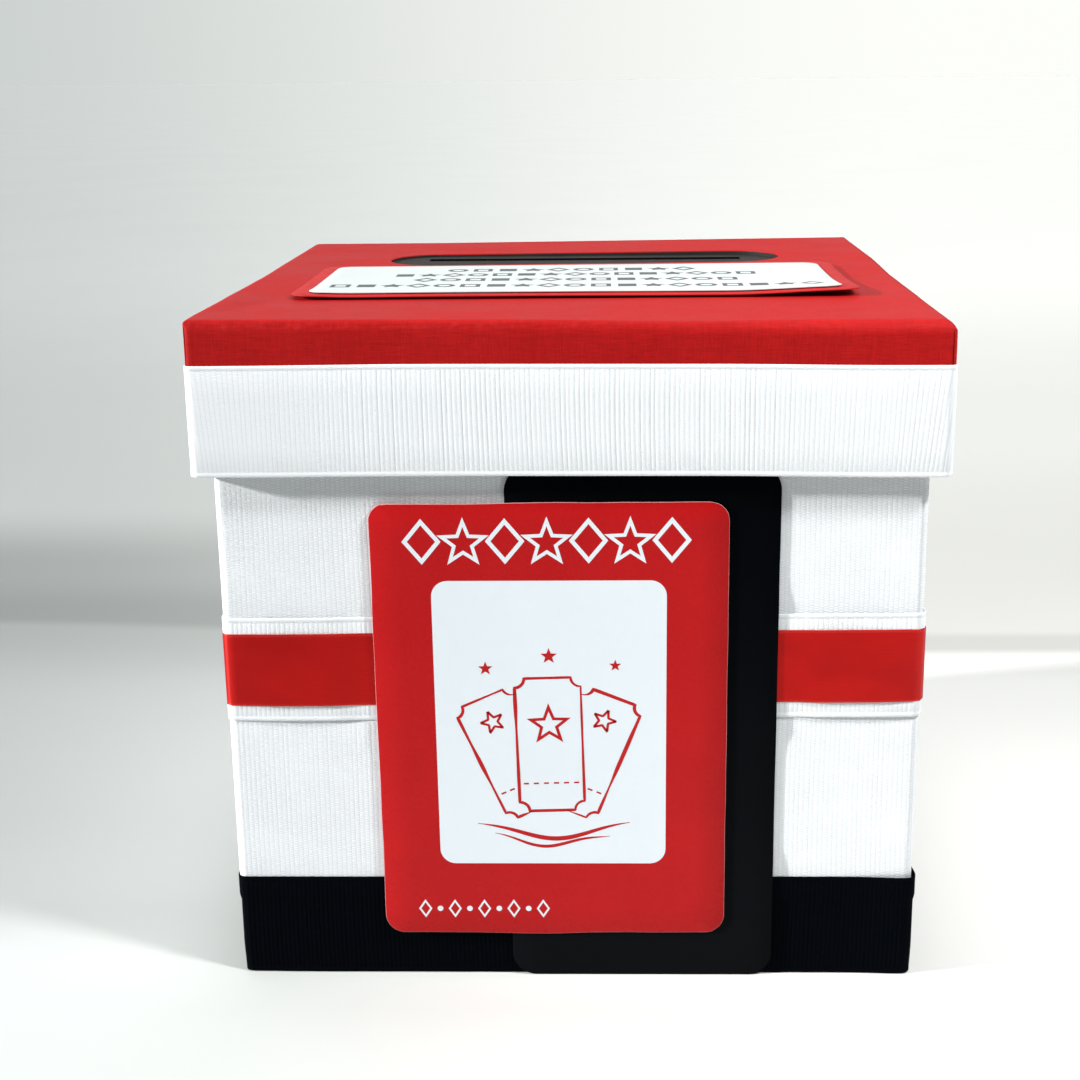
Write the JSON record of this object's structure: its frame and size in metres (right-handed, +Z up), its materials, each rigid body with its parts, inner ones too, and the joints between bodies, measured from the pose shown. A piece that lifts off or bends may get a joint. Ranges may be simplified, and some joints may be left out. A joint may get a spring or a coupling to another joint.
{
  "type": "raffle box",
  "caption": "Square board box with a lift-off lid, a card slot in the lid, ribbon bands round the sides and layered cards on the front and top.",
  "frame": {"origin": "middle of the foot, on the surface that the box stands on", "axes": "+Z up, the front with the cards faces -Y, +X to the right seen from the front"},
  "size_m": [0.255, 0.2555, 0.2416],
  "materials": {
    "red_cover_paper": "fine linen texture, satin",
    "white_grosgrain": "ribbed",
    "red_satin": "glossy satin weave",
    "black_grosgrain": "ribbed",
    "black_card": "matt",
    "slot_card": "matt",
    "red_printed_card": "printed, satin, white core",
    "red_mat_card": "satin, white core",
    "white_card": "smooth",
    "white_wrap_paper": "smooth",
    "inner_paper": "smooth",
    "greyboard": "matt",
    "stay_tape": "matt",
    "foam_tape": "closed-cell foam",
    "base_paper": "matt"
  },
  "bodies": {
    "box": {"base_sheet": "base_paper", "floor_board": "greyboard", "front_wall_board": "greyboard", "back_wall_board": "greyboard", "left_wall_board": "greyboard", "right_wall_board": "greyboard", "corner_stays": "stay_tape", "box_wrap": "white_wrap_paper", "wall_lining": "inner_paper", "floor_lining": "inner_paper", "upper_white_ribbon": "white_grosgrain", "lower_white_ribbon": "white_grosgrain", "waist_white_ribbon": "white_grosgrain", "red_satin_ribbon": "red_satin", "black_base_ribbon": "black_grosgrain", "black_backing_card": "black_card", "backing_card_pads": "foam_tape", "front_card_pads": "foam_tape", "front_card_side_pads": "foam_tape", "red_front_card": "red_printed_card"},
    "lid": {"lid_cover": "red_cover_paper", "lid_front_board": "greyboard", "lid_back_board": "greyboard", "lid_left_board": "greyboard", "lid_right_board": "greyboard", "lid_top_board": "greyboard", "lid_corner_stays": "stay_tape", "slot_plate": "slot_card", "lid_lining": "inner_paper", "lid_white_ribbon": "white_grosgrain", "label_pads": "foam_tape", "label_mat": "red_mat_card", "label_card": "white_card"}
  },
  "joints": [
    {"name": "lid_lift", "type": "slide", "parent": "box", "child": "lid", "axis": [0, 0, 1], "range_m": [0, 0.08]}
  ]
}
